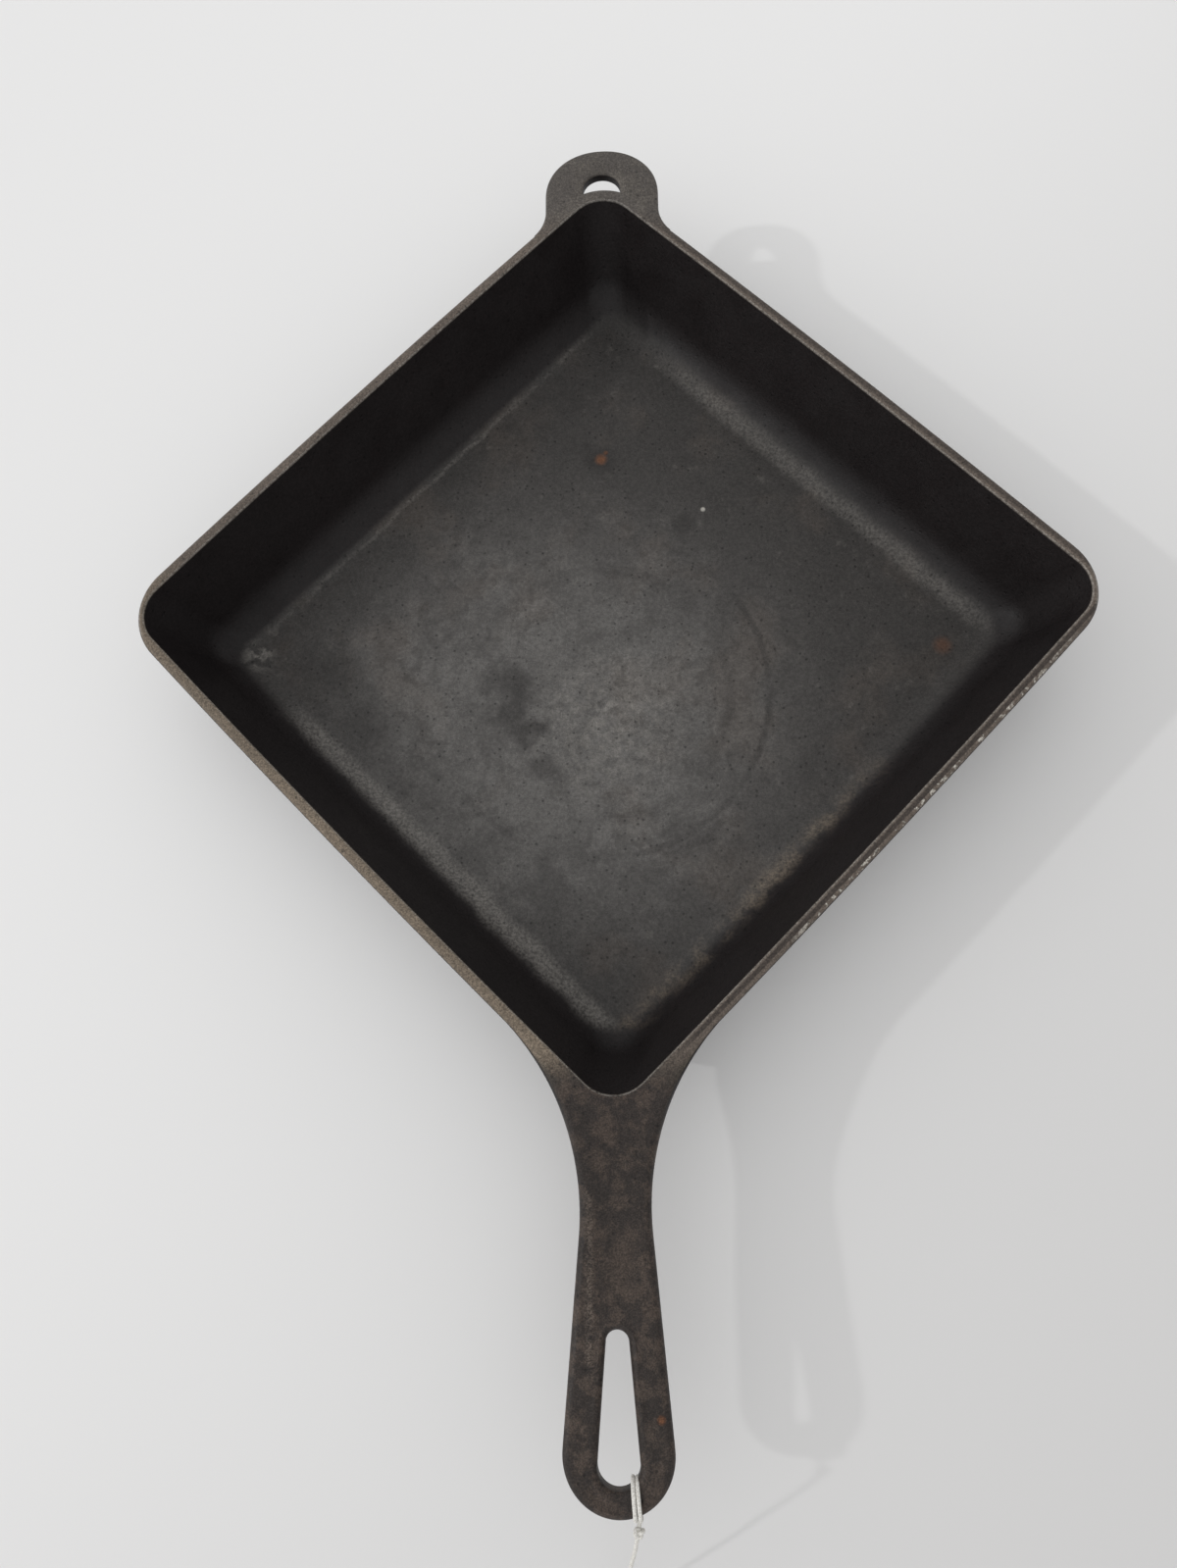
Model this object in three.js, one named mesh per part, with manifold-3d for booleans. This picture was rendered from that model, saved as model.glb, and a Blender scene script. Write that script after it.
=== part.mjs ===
// A square cast iron skillet with a slotted handle on one corner and a helper tab on the opposite one.
// A doubled cotton string is tied round the end of the handle.
//
// Millimetres, +Z up. The origin is the centre of the pan's flat underside. The pan stands on its
// corners in plan: its handle corner points along -Y, its tab corner along +Y.
// The iron is one casting. It is divided on two flat planes into the pan, the handle and the tab.

import * as THREE from "three";
import { mergeVertices } from "three/addons/utils/BufferGeometryUtils.js";
import Module from "manifold-3d";

// Pan
const RIM_SIDE = 257; // across the outside of the rim, middle of a side to middle of a side
const SIDE_BOW = 1; // how far the middle of a side stands out from its ends
const PAN_HEIGHT = 46.5;
const FLOOR_THICKNESS = 5;
const RIM_WIDTH = 4.4;
const RIM_EDGE = 0.8; // chamfer on both edges of the rim
const DRAFT = THREE.MathUtils.degToRad(15.5); // how far the walls lean out
const FLOOR_FILLET = 16.5; // inside, between floor and wall
const FOOT_FILLET = 18; // outside, between underside and wall
const OUTER_CORNER = 22; // corner radius in plan at the rim, outside
const INNER_CORNER = 13.5; // and inside
const CORNER_TAPER = 0.35; // a corner's radius shrinks by this share as its side moves in

// Handle
const HANDLE_LENGTH = 117.9; // from the rim's corner to the handle's end
const NECK_DISTANCE = 32.8; // from the rim's corner to the narrowest place
const NECK_WIDTH = 22.8;
const HANDLE_END_RADIUS = 17;
const NECK_DROP = 4; // how far the top of the neck lies below the rim
const END_DROP = 3.5;
const ROOT_THICKNESS = 13;
const LIP_THICKNESS = 5; // where the flare leaves the rim
const NECK_THICKNESS = 9.5;
const END_THICKNESS = 7;
const HANDLE_EDGE = 2.5; // rounding of the handle's edges
const SLOT_END_RADIUS = 6.5;
const SLOT_NARROW_RADIUS = 3.6;
const END_BAR = 7.5; // iron between the slot's end and the handle's end
const SLOT_LENGTH = 43.7;

// Helper tab
const TAB_WIDTH = 44.2;
const TAB_LENGTH = 20.5; // from the rim's corner to the tab's end
const TAB_THICKNESS = 4.2;
const TAB_ROUNDNESS = 2.1; // exponent of the end's superellipse, where 2 is an ellipse
const TAB_BLEND = 15; // radius between the tab's sides and the rim
const TAB_EDGE = 1;
const HOLE_RADIUS = 7.3;
const HOLE_LIP = 3.9; // from the rim's inner corner to the flat side of the hole

// String
const STRING_DIAMETER = 1.3;
const LOOP_CLEARANCE = 0.35; // between the string and the iron
const LOOP_PLACE = 4.7; // to the right of the handle's middle
const LOOP_TURN = THREE.MathUtils.degToRad(8); // how far the loop leans in plan
const KNOT_DIAMETER = 4;
// The middle line of the string's free tail, from the knot down to the table.
const TAIL_ROUTE = [
  [5.0, -295.4, 38.1],
  [4.6, -298.2, 35.5],
  [4.0, -301.8, 31.9],
  [3.1, -306.2, 27.1],
  [2.3, -310.8, 22.5],
  [1.4, -315.2, 17.8],
  [0.3, -319.8, 12.9],
  [-0.9, -323.9, 8.0],
  [-2.2, -327.6, 4.0],
  [-3.8, -331.8, 1.5],
  [-5.9, -336.2, 0.8],
  [-8.2, -340.8, 0.7],
  [-10.2, -345.8, 0.7],
  [-11.3, -350.8, 0.7],
  [-11.5, -355.8, 0.7],
];

// Places worked out from the sizes above, as distances from the pan's centre along -Y or +Y
const SHARP_REACH = (RIM_SIDE / 2 - SIDE_BOW) * Math.SQRT2; // where the rim's sides would meet
const OUTER_REACH = cornerReach(RIM_SIDE / 2, OUTER_CORNER);
const INNER_REACH = cornerReach(RIM_SIDE / 2 - RIM_WIDTH, INNER_CORNER);
const ROOT_START = SHARP_REACH / 2; // handle and tab are drawn from well inside the pan
const HANDLE_JOINT = OUTER_REACH + 1.35; // the flat planes where handle and tab meet the pan
const TAB_JOINT = OUTER_REACH + 0.35;
const NECK_PLACE = OUTER_REACH + NECK_DISTANCE;
const HANDLE_END = OUTER_REACH + HANDLE_LENGTH;

// Fineness of the round shapes
const CORNER_STEPS = 6;
const FILLET_STEPS = 5;
const ARC_DIVISIONS = 9;
const SIDE_STEPS = 8;
const OVERSHOOT = 6; // how far a cutter runs past what it cuts

const wasm = await Module();
wasm.setup();

// How far a round corner of the pan reaches from its centre.
function cornerReach(half, radius) {
  return (half - SIDE_BOW) * Math.SQRT2 - radius * (Math.SQRT2 - 1);
}

function solidOf(geometry) {
  const plain = geometry.clone();
  plain.deleteAttribute("normal");
  plain.deleteAttribute("uv");
  const merged = mergeVertices(plain, 1e-4);
  return new wasm.Manifold(
    new wasm.Mesh({
      numProp: 3,
      vertProperties: new Float32Array(merged.attributes.position.array),
      triVerts: new Uint32Array(merged.index.array),
    }),
  );
}

function geometryOf(solid) {
  const mesh = solid.getMesh();
  const geometry = new THREE.BufferGeometry();
  geometry.setAttribute("position", new THREE.BufferAttribute(mesh.vertProperties, mesh.numProp));
  geometry.setIndex(new THREE.BufferAttribute(mesh.triVerts, 1));
  geometry.computeVertexNormals();
  return geometry;
}

// A closed skin over rings that have the same number of points, with a flat cap on the first and last.
function loft(rings) {
  const count = rings[0].length;
  const positions = rings.flat().flatMap((p) => p.toArray());
  const index = [];
  for (let r = 0; r + 1 < rings.length; r++) {
    for (let i = 0; i < count; i++) {
      const a = r * count + i;
      const b = r * count + ((i + 1) % count);
      index.push(a, b, b + count, a, b + count, a + count);
    }
  }
  const last = (rings.length - 1) * count;
  for (let i = 1; i + 1 < count; i++) {
    index.push(0, i + 1, i);
    index.push(last, last + i, last + i + 1);
  }
  const geometry = new THREE.BufferGeometry();
  geometry.setAttribute("position", new THREE.Float32BufferAttribute(positions, 3));
  geometry.setIndex(index);
  return geometry;
}

// A square with round corners and slightly bowed sides, its corners on the X and Y axes.
function squareRing(half, radius, z) {
  const points = [];
  const straight = half - SIDE_BOW - radius; // from the middle of a side to where its corner starts
  const centre = straight * Math.SQRT2;
  for (let corner = 0; corner < 4; corner++) {
    const middle = (corner * Math.PI) / 2;
    for (let i = 0; i <= CORNER_STEPS; i++) {
      const a = middle + (i / CORNER_STEPS - 0.5) * (Math.PI / 2);
      const x = centre * Math.cos(middle) + radius * Math.cos(a);
      const y = centre * Math.sin(middle) + radius * Math.sin(a);
      points.push(new THREE.Vector3(x, y, z));
    }
    const out = middle + Math.PI / 4; // the way the next side faces
    for (let i = 1; i < SIDE_STEPS; i++) {
      const share = (2 * i) / SIDE_STEPS - 1;
      const reach = half - SIDE_BOW * share * share;
      const x = reach * Math.cos(out) - straight * share * Math.sin(out);
      const y = reach * Math.sin(out) + straight * share * Math.cos(out);
      points.push(new THREE.Vector3(x, y, z));
    }
  }
  return points;
}

// Half side and height at each step, from a flat base round a fillet to a wall that leans out.
function wallProfile(topHalf, baseZ, fillet) {
  const sharpHalf = topHalf - (PAN_HEIGHT - baseZ) * Math.tan(DRAFT);
  const flatHalf = sharpHalf - fillet * Math.tan((Math.PI / 2 - DRAFT) / 2);
  const steps = [];
  for (let i = 0; i <= FILLET_STEPS; i++) {
    const a = -Math.PI / 2 + (i / FILLET_STEPS) * (Math.PI / 2 - DRAFT);
    steps.push([flatHalf + fillet * Math.cos(a), baseZ + fillet + fillet * Math.sin(a)]);
  }
  steps.push([topHalf - RIM_EDGE * Math.tan(DRAFT), PAN_HEIGHT - RIM_EDGE]);
  return steps;
}

function squareLoft(profile, topHalf, topCorner) {
  return loft(
    profile.map(([half, z]) => squareRing(half, topCorner - (topHalf - half) * CORNER_TAPER, z)),
  );
}

function panOutside() {
  const topHalf = RIM_SIDE / 2;
  const profile = wallProfile(topHalf, 0, FOOT_FILLET);
  profile.push([topHalf - RIM_EDGE, PAN_HEIGHT]);
  return solidOf(squareLoft(profile, topHalf, OUTER_CORNER));
}

function panInside() {
  const topHalf = RIM_SIDE / 2 - RIM_WIDTH;
  const profile = wallProfile(topHalf, FLOOR_THICKNESS, FLOOR_FILLET);
  profile.push([topHalf + RIM_EDGE, PAN_HEIGHT], [topHalf + RIM_EDGE, PAN_HEIGHT + OVERSHOOT]);
  return solidOf(squareLoft(profile, topHalf, INNER_CORNER));
}

// A plate with rounded edges, lying under z = 0.
function plate(shape, thickness, edge) {
  const geometry = new THREE.ExtrudeGeometry(shape, {
    depth: thickness - 2 * edge,
    bevelThickness: edge,
    bevelSize: edge,
    bevelOffset: -edge,
    bevelSegments: 2,
    curveSegments: ARC_DIVISIONS,
  });
  return geometry.translate(0, 0, edge - thickness);
}

// The handle's outline: from inside the rim a hollow arc runs off the pan's sides to the neck,
// a straight taper touches it, and a half circle closes the end.
function handleOutline() {
  const neckHalf = NECK_WIDTH / 2;
  const flare = (NECK_PLACE - (SHARP_REACH - neckHalf)) / Math.tan(Math.PI / 8);
  const centre = new THREE.Vector2(neckHalf + flare, -NECK_PLACE);
  const end = new THREE.Vector2(0, HANDLE_END_RADIUS - HANDLE_END);
  const across = centre.clone().sub(end);
  const lean = across.angle() - Math.acos((flare + HANDLE_END_RADIUS) / across.length());
  const diagonal = (3 * Math.PI) / 4;
  const rootHalf = centre.x - flare * Math.SQRT1_2;
  const shape = new THREE.Shape();
  shape.moveTo(rootHalf, -ROOT_START);
  shape.absarc(centre.x, centre.y, flare, diagonal, Math.PI + lean, false);
  shape.absarc(end.x, end.y, HANDLE_END_RADIUS, lean, -Math.PI - lean, true);
  shape.absarc(-centre.x, centre.y, flare, -lean, Math.PI - diagonal, false);
  shape.lineTo(-rootHalf, -ROOT_START);
  return shape;
}

// The slot's outline: a small circle towards the pan and a larger one near the handle's end,
// with straight sides that touch both.
function slotOutline() {
  const wide = END_BAR + SLOT_END_RADIUS - HANDLE_END;
  const narrow = wide + SLOT_LENGTH - SLOT_END_RADIUS - SLOT_NARROW_RADIUS;
  const lean = Math.asin((SLOT_END_RADIUS - SLOT_NARROW_RADIUS) / (narrow - wide));
  const slot = new THREE.Path();
  slot.absarc(0, narrow, SLOT_NARROW_RADIUS, lean, Math.PI - lean, false);
  slot.absarc(0, wide, SLOT_END_RADIUS, Math.PI - lean, 2 * Math.PI + lean, false);
  return slot;
}

// A value that runs smoothly through [place, value] steps.
function along(steps, place) {
  for (let i = 1; i < steps.length; i++) {
    const [fromPlace, from] = steps[i - 1];
    const [toPlace, to] = steps[i];
    if (place <= toPlace) {
      return THREE.MathUtils.lerp(from, to, THREE.MathUtils.smoothstep(place, fromPlace, toPlace));
    }
  }
  return steps.at(-1)[1];
}

const FLARE_START = SHARP_REACH - 32;
const TOP_LINE = [
  [HANDLE_JOINT - 4, 0],
  [NECK_PLACE + 8, -NECK_DROP],
  [HANDLE_END, -END_DROP],
];
const DEPTH_LINE = [
  [FLARE_START, LIP_THICKNESS],
  [HANDLE_JOINT, ROOT_THICKNESS],
  [NECK_PLACE + 10, NECK_THICKNESS],
  [HANDLE_END, END_THICKNESS],
];

// The whole handle with its flare: a flat plate, then bent and thickened along its length.
function wholeHandle() {
  const shape = handleOutline();
  shape.holes.push(slotOutline());
  const geometry = plate(shape, NECK_THICKNESS, HANDLE_EDGE);
  const place = geometry.attributes.position;
  for (let i = 0; i < place.count; i++) {
    const distance = -place.getY(i);
    const depth = place.getZ(i) * (along(DEPTH_LINE, distance) / NECK_THICKNESS);
    place.setZ(i, PAN_HEIGHT + along(TOP_LINE, distance) + depth);
  }
  return solidOf(geometry);
}

// The tab's outline runs off the rim's sides round two blends and closes in a superellipse.
function tabOutline() {
  const half = TAB_WIDTH / 2;
  const blendY = SHARP_REACH - half + TAB_BLEND * Math.tan(Math.PI / 8);
  const rootHalf = half + TAB_BLEND * (1 - Math.SQRT1_2);
  const shape = new THREE.Shape();
  shape.moveTo(-rootHalf, ROOT_START);
  shape.absarc(-half - TAB_BLEND, blendY, TAB_BLEND, -Math.PI / 4, 0, false);
  const steps = 4 * ARC_DIVISIONS;
  for (let i = 0; i <= steps; i++) {
    const a = Math.PI * (1 - i / steps);
    const x = Math.sign(Math.cos(a)) * Math.abs(Math.cos(a)) ** (2 / TAB_ROUNDNESS);
    const y = Math.abs(Math.sin(a)) ** (2 / TAB_ROUNDNESS);
    shape.lineTo(half * x, OUTER_REACH + TAB_LENGTH * y);
  }
  shape.absarc(half + TAB_BLEND, blendY, TAB_BLEND, Math.PI, (5 * Math.PI) / 4, false);
  shape.lineTo(rootHalf, ROOT_START);
  return shape;
}

// The hole to hang the pan by: a circle whose side towards the pan is cut off flat.
function hangHole() {
  const flat = INNER_REACH + HOLE_LIP;
  const centreY = flat + HOLE_RADIUS / 10;
  const start = Math.asin((flat - centreY) / HOLE_RADIUS);
  const hole = new THREE.Path();
  hole.absarc(0, centreY, HOLE_RADIUS, start, Math.PI - start, false);
  return hole;
}

function wholeTab() {
  const shape = tabOutline();
  shape.holes.push(hangHole());
  return solidOf(plate(shape, TAB_THICKNESS, TAB_EDGE).translate(0, 0, PAN_HEIGHT));
}

// String. Its two turns lie side by side round the bar between the slot and the handle's end.
function roundedBox(left, right, low, high, radius, Kind) {
  const outline = new Kind();
  outline.absarc(right - radius, low + radius, radius, -Math.PI / 2, 0, false);
  outline.absarc(right - radius, high - radius, radius, 0, Math.PI / 2, false);
  outline.absarc(left + radius, high - radius, radius, Math.PI / 2, Math.PI, false);
  outline.absarc(left + radius, low + radius, radius, Math.PI, (3 * Math.PI) / 2, false);
  return outline;
}

const BAR_MIDDLE = HANDLE_END - END_BAR / 2;
const BAR_TOP = PAN_HEIGHT - END_DROP;
const LOOP_FRONT = END_BAR / 2 + LOOP_CLEARANCE; // inside faces, from the middle of the bar
const LOOP_BACK = END_BAR / 2 + 3.4; // further off, where the slot's end is round

function stringLoop() {
  const low = BAR_TOP - END_THICKNESS - LOOP_CLEARANCE;
  const high = BAR_TOP + LOOP_CLEARANCE;
  const out = STRING_DIAMETER;
  const shape = roundedBox(
    -LOOP_FRONT - out,
    LOOP_BACK + out,
    low - out,
    high + out,
    HANDLE_EDGE + out,
    THREE.Shape,
  );
  shape.holes.push(roundedBox(-LOOP_FRONT, LOOP_BACK, low, high, HANDLE_EDGE / 2, THREE.Path));
  const width = 2 * STRING_DIAMETER;
  const geometry = new THREE.ExtrudeGeometry(shape, {
    depth: width,
    bevelEnabled: false,
    curveSegments: 3,
  });
  geometry.translate(0, 0, -width / 2);
  // The outline's X becomes +Y and its Y becomes +Z, so the extrusion runs along X.
  geometry.rotateX(Math.PI / 2);
  geometry.rotateZ(Math.PI / 2);
  return geometry;
}

function stringTail() {
  const points = TAIL_ROUTE.map((p) => new THREE.Vector3(...p));
  const route = new THREE.CatmullRomCurve3(points, false, "centripetal");
  const section = new THREE.Shape();
  section.absarc(0, 0, STRING_DIAMETER / 2, 0, 2 * Math.PI, false);
  return new THREE.ExtrudeGeometry(section, {
    extrudePath: route,
    steps: 30,
    curveSegments: 4,
    bevelEnabled: false,
  });
}

function knot() {
  return new THREE.SphereGeometry(KNOT_DIAMETER / 2, 10, 8);
}

const iron = new THREE.MeshStandardMaterial({ color: 0x34312e, roughness: 0.6, metalness: 0.5 });
const cotton = new THREE.MeshStandardMaterial({ color: 0xe9e4d8, roughness: 0.95, metalness: 0 });

function named(name, geometry, material) {
  const mesh = new THREE.Mesh(geometry, material);
  mesh.name = name;
  return mesh;
}

const skillet = new THREE.Group();

const handleWithRoot = wholeHandle();
const tabWithRoot = wholeTab();
const handle = handleWithRoot.trimByPlane([0, -1, 0], HANDLE_JOINT);
const handleRoot = handleWithRoot.trimByPlane([0, 1, 0], -HANDLE_JOINT);
const tab = tabWithRoot.trimByPlane([0, 1, 0], TAB_JOINT);
const tabRoot = tabWithRoot.trimByPlane([0, -1, 0], -TAB_JOINT);
const pan = panOutside().add(handleRoot).add(tabRoot).subtract(panInside());

skillet.add(named("pan_body", geometryOf(pan), iron));
skillet.add(named("handle", geometryOf(handle), iron));
skillet.add(named("helper_tab", geometryOf(tab), iron));

const loop = named("string_loop", stringLoop(), cotton);
loop.position.set(LOOP_PLACE, -BAR_MIDDLE, 0);
loop.rotation.z = LOOP_TURN;
skillet.add(loop);

const tiedKnot = named("string_knot", knot(), cotton);
tiedKnot.position.set(
  LOOP_PLACE + 0.9,
  -HANDLE_END - LOOP_CLEARANCE - STRING_DIAMETER - LOOP_CLEARANCE - KNOT_DIAMETER / 2,
  BAR_TOP - END_THICKNESS / 2,
);
skillet.add(tiedKnot);

skillet.add(named("string_tail", stringTail(), cotton));

const endKnot = named("string_end_knot", knot(), cotton);
const tailEnd = TAIL_ROUTE.at(-1);
endKnot.position.set(
  tailEnd[0],
  tailEnd[1] - LOOP_CLEARANCE - KNOT_DIAMETER / 2,
  KNOT_DIAMETER / 2,
);
skillet.add(endKnot);

export default skillet;
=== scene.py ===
"""A square cast iron skillet with a slotted handle on one corner, a helper tab on the opposite
corner and a doubled cotton string tied round the handle's end. It stands on a pale painted table.
Metres, +Z up; the origin is the centre of the pan's flat underside, and the handle runs along -Y."""

import math

import bmesh
import bpy
from mathutils import Matrix, Vector


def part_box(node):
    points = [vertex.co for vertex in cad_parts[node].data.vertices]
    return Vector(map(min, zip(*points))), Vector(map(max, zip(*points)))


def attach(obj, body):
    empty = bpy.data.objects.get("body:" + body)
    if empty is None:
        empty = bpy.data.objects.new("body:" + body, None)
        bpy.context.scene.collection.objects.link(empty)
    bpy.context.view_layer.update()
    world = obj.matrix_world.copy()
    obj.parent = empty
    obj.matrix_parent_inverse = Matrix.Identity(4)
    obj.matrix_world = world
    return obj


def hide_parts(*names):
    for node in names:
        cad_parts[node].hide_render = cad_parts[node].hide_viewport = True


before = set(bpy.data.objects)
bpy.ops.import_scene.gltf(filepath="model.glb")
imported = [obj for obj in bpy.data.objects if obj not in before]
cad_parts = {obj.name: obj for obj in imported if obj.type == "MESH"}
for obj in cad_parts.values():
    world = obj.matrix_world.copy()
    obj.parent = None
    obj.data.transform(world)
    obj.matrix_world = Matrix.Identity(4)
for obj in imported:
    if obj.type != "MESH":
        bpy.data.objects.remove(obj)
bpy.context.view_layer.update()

MM = 0.001
DIAGONAL = math.sqrt(2)
scene = bpy.context.scene

# CAMERA
# It looks down on the pan from above the handle's root, tilted towards the helper tab.
CAMERA_PLACE = (10.75 * MM, -147.04 * MM, 386.6 * MM)
CAMERA_TURN = (13.218, 3.114, -0.471)  # degrees
CAMERA_LENS = 23.62  # on a sensor whose long side is 36

camera_data = bpy.data.cameras.new("camera")
camera_data.sensor_width = 36
camera_data.lens = CAMERA_LENS
camera_data.clip_start = 0.01
camera = bpy.data.objects.new("camera", camera_data)
camera.location = CAMERA_PLACE
camera.rotation_euler = [math.radians(angle) for angle in CAMERA_TURN]
scene.collection.objects.link(camera)
scene.camera = camera

# STRING
# Thin white cotton, tied in two turns round the bar at the end of the handle, with a knot beyond
# the bar. Its tail runs down to the table and ends in a second knot.
STRING_DIAMETER = 1.3 * MM
COTTON_COLOUR = (0.78, 0.77, 0.73, 1)
COTTON_SHADE = (0.52, 0.5, 0.46, 1)

# One turn round the bar, seen from the side: places along Y and Z, from the bar's end over its top.
TURN_ROUTE = [
    (-289.2, 38.6),
    (-289.1, 41.4),
    (-288.0, 43.4),
    (-285.6, 43.9),
    (-283.0, 43.9),
    (-280.6, 43.5),
    (-279.0, 41.8),
    (-278.7, 39.4),
    (-279.3, 37.0),
    (-281.2, 35.4),
    (-284.4, 35.1),
    (-287.4, 35.5),
]
# How far to the right each turn crosses the bar, at the slot and at the bar's end.
TURN_PLACES = [(4.05, 4.75), (5.35, 6.3)]
TAIL_ROUTE = [
    (5.9, -290.3, 38.6),
    (5.5, -292.6, 38.9),
    (5.0, -295.4, 38.1),
    (4.6, -298.2, 35.5),
    (4.0, -301.8, 31.9),
    (3.1, -306.2, 27.1),
    (2.3, -310.8, 22.5),
    (1.4, -315.2, 17.8),
    (0.3, -319.8, 12.9),
    (-0.9, -323.9, 8.0),
    (-2.2, -327.6, 4.0),
    (-3.8, -331.8, 1.5),
    (-5.9, -336.2, 0.8),
    (-8.2, -340.8, 0.7),
    (-10.2, -345.8, 0.7),
    (-11.3, -350.8, 0.7),
    (-11.5, -356.3, 0.9),
]


def node(tree, kind, inputs=None, **settings):
    """Add a shader node. inputs gives its sockets a value or another node's output."""
    made = tree.nodes.new(kind)
    for name, value in settings.items():
        setattr(made, name, value)
    for key, value in (inputs or {}).items():
        if isinstance(value, bpy.types.NodeSocket):
            tree.links.new(value, made.inputs[key])
        else:
            made.inputs[key].default_value = value
    return made


def new_material(name):
    material = bpy.data.materials.new(name)
    material.use_nodes = True
    return material, material.node_tree, material.node_tree.nodes["Principled BSDF"]


def noise(tree, place, scale, detail=3.0, roughness=0.55):
    inputs = {"Vector": place, "Scale": scale, "Detail": detail, "Roughness": roughness}
    return node(tree, "ShaderNodeTexNoise", inputs).outputs["Fac"]


def fade(tree, value, start, end, low=0.0, high=1.0):
    """low up to start, high from end on, and smooth between them."""
    inputs = {"Value": value, "From Min": start, "From Max": end, "To Min": low, "To Max": high}
    made = node(tree, "ShaderNodeMapRange", inputs, interpolation_type="SMOOTHSTEP")
    return made.outputs["Result"]


def blend_colours(tree, share, first, second):
    made = node(tree, "ShaderNodeMix", {0: share, 6: first, 7: second}, data_type="RGBA")
    return made.outputs[2]


def maths(tree, operation, first, second=0.0):
    return node(tree, "ShaderNodeMath", {0: first, 1: second}, operation=operation).outputs[0]


def cotton_material():
    material, tree, shader = new_material("cotton_string")
    place = node(tree, "ShaderNodeTexCoord").outputs["Object"]
    fibres = noise(tree, place, 2600.0, 2.0)
    colour = blend_colours(tree, fade(tree, fibres, 0.35, 0.62), COTTON_SHADE, COTTON_COLOUR)
    tree.links.new(colour, shader.inputs["Base Color"])
    shader.inputs["Roughness"].default_value = 0.95
    shader.inputs["Specular IOR Level"].default_value = 0.1
    bump = node(tree, "ShaderNodeBump", {"Height": fibres, "Strength": 0.6, "Distance": 0.0003})
    tree.links.new(bump.outputs["Normal"], shader.inputs["Normal"])
    return material


cotton = cotton_material()


def tube(name, points, diameter, closed=False):
    """A round cord along smooth points, in metres."""
    curve = bpy.data.curves.new(name, "CURVE")
    curve.dimensions = "3D"
    curve.bevel_depth = diameter / 2
    curve.bevel_resolution = 3
    curve.resolution_u = 6
    curve.use_fill_caps = not closed
    spline = curve.splines.new("BEZIER")
    spline.bezier_points.add(len(points) - 1)
    for bezier, point in zip(spline.bezier_points, points):
        bezier.co = point
        bezier.handle_left_type = "AUTO"
        bezier.handle_right_type = "AUTO"
    spline.use_cyclic_u = closed
    made = bpy.data.objects.new(name, curve)
    made.data.materials.append(cotton)
    scene.collection.objects.link(made)
    return made


def string_points():
    points = []
    for at_slot, at_end in TURN_PLACES:
        for along, height in TURN_ROUTE:
            share = (along - TURN_ROUTE[7][0]) / (TURN_ROUTE[0][0] - TURN_ROUTE[7][0])
            across = at_slot + (at_end - at_slot) * share
            points.append(Vector((across, along, height)) * MM)
    points += [Vector(point) * MM for point in TAIL_ROUTE]
    return points


string = tube("string", string_points(), STRING_DIAMETER)


def knot(name, centre, size, turn):
    """An overhand knot, drawn tight: a closed trefoil of string."""
    points = []
    steps = 18
    for i in range(steps):
        a = 2 * math.pi * i / steps
        x = math.sin(a) + 2 * math.sin(2 * a)
        y = math.cos(a) - 2 * math.cos(2 * a)
        z = -1.2 * math.sin(3 * a)
        points.append(Vector((x, y, z)) * size / 6)
    spin = Matrix.Rotation(math.radians(turn), 4, "Y") @ Matrix.Rotation(math.radians(35), 4, "X")
    return tube(name, [centre + spin @ p for p in points], STRING_DIAMETER * 0.95, closed=True)


def middle_of(name):
    low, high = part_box(name)
    return (low + high) / 2


tied_knot = knot("tied_knot", middle_of("string_knot"), 2.9 * MM, 20)
end_knot = knot("end_knot", middle_of("string_end_knot"), 2.6 * MM, 75)
for piece in (string, tied_knot, end_knot):
    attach(piece, "root")
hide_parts("string_loop", "string_tail")
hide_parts("string_knot")
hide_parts("string_end_knot")
string_points()[0]

# CASTING
# Pan, handle and tab are one piece of cast iron. The pan is a square bowl with leaning walls, round
# corners and a wide fillet between wall and floor. Handle and tab are plates level with its rim.
RIM_HALF = 128.5
SIDE_BOW = 1.0
PAN_HEIGHT = 46.5
FLOOR_HEIGHT = 5.0
RIM_WIDTH = 4.4
DRAFT = math.radians(15.5)
FLOOR_FILLET = 16.5
FOOT_FILLET = 18.0
OUTER_CORNER = 22.0
INNER_CORNER = 13.5
CORNER_TAPER = 0.35
INNER_CORNER_TAPER = 0.14
RIM_ROUND_OUTSIDE = 1.5
RIM_ROUND_INSIDE = 0.7
CORNER_STEPS = 16
SIDE_STEPS = 24

HANDLE_LENGTH = 117.9
NECK_DISTANCE = 32.8
NECK_WIDTH = 22.8
HANDLE_END_RADIUS = 17.0
HANDLE_EDGE = 2.6
NECK_DROP = 4.0
END_DROP = 3.5
ROOT_THICKNESS = 13.0
LIP_THICKNESS = 5.0
NECK_THICKNESS = 9.5
END_THICKNESS = 7.0
SLOT_END_RADIUS = 6.5
SLOT_NARROW_RADIUS = 3.6
SLOT_LENGTH = 43.7
END_BAR = 7.5
HANDLE_DISH = 0.5

TAB_WIDTH = 44.2
TAB_LENGTH = 20.5
TAB_THICKNESS = 4.2
TAB_ROUNDNESS = 2.1
TAB_BLEND = 15.0
TAB_EDGE = 1.1
HOLE_RADIUS = 7.3
HOLE_CENTRE = 173.1
HOLE_SIDE = 172.0
HOLE_SIDE_CROWN = 1.3


def corner_reach(half, radius):
    return (half - SIDE_BOW) * DIAGONAL - radius * (DIAGONAL - 1)


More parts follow.
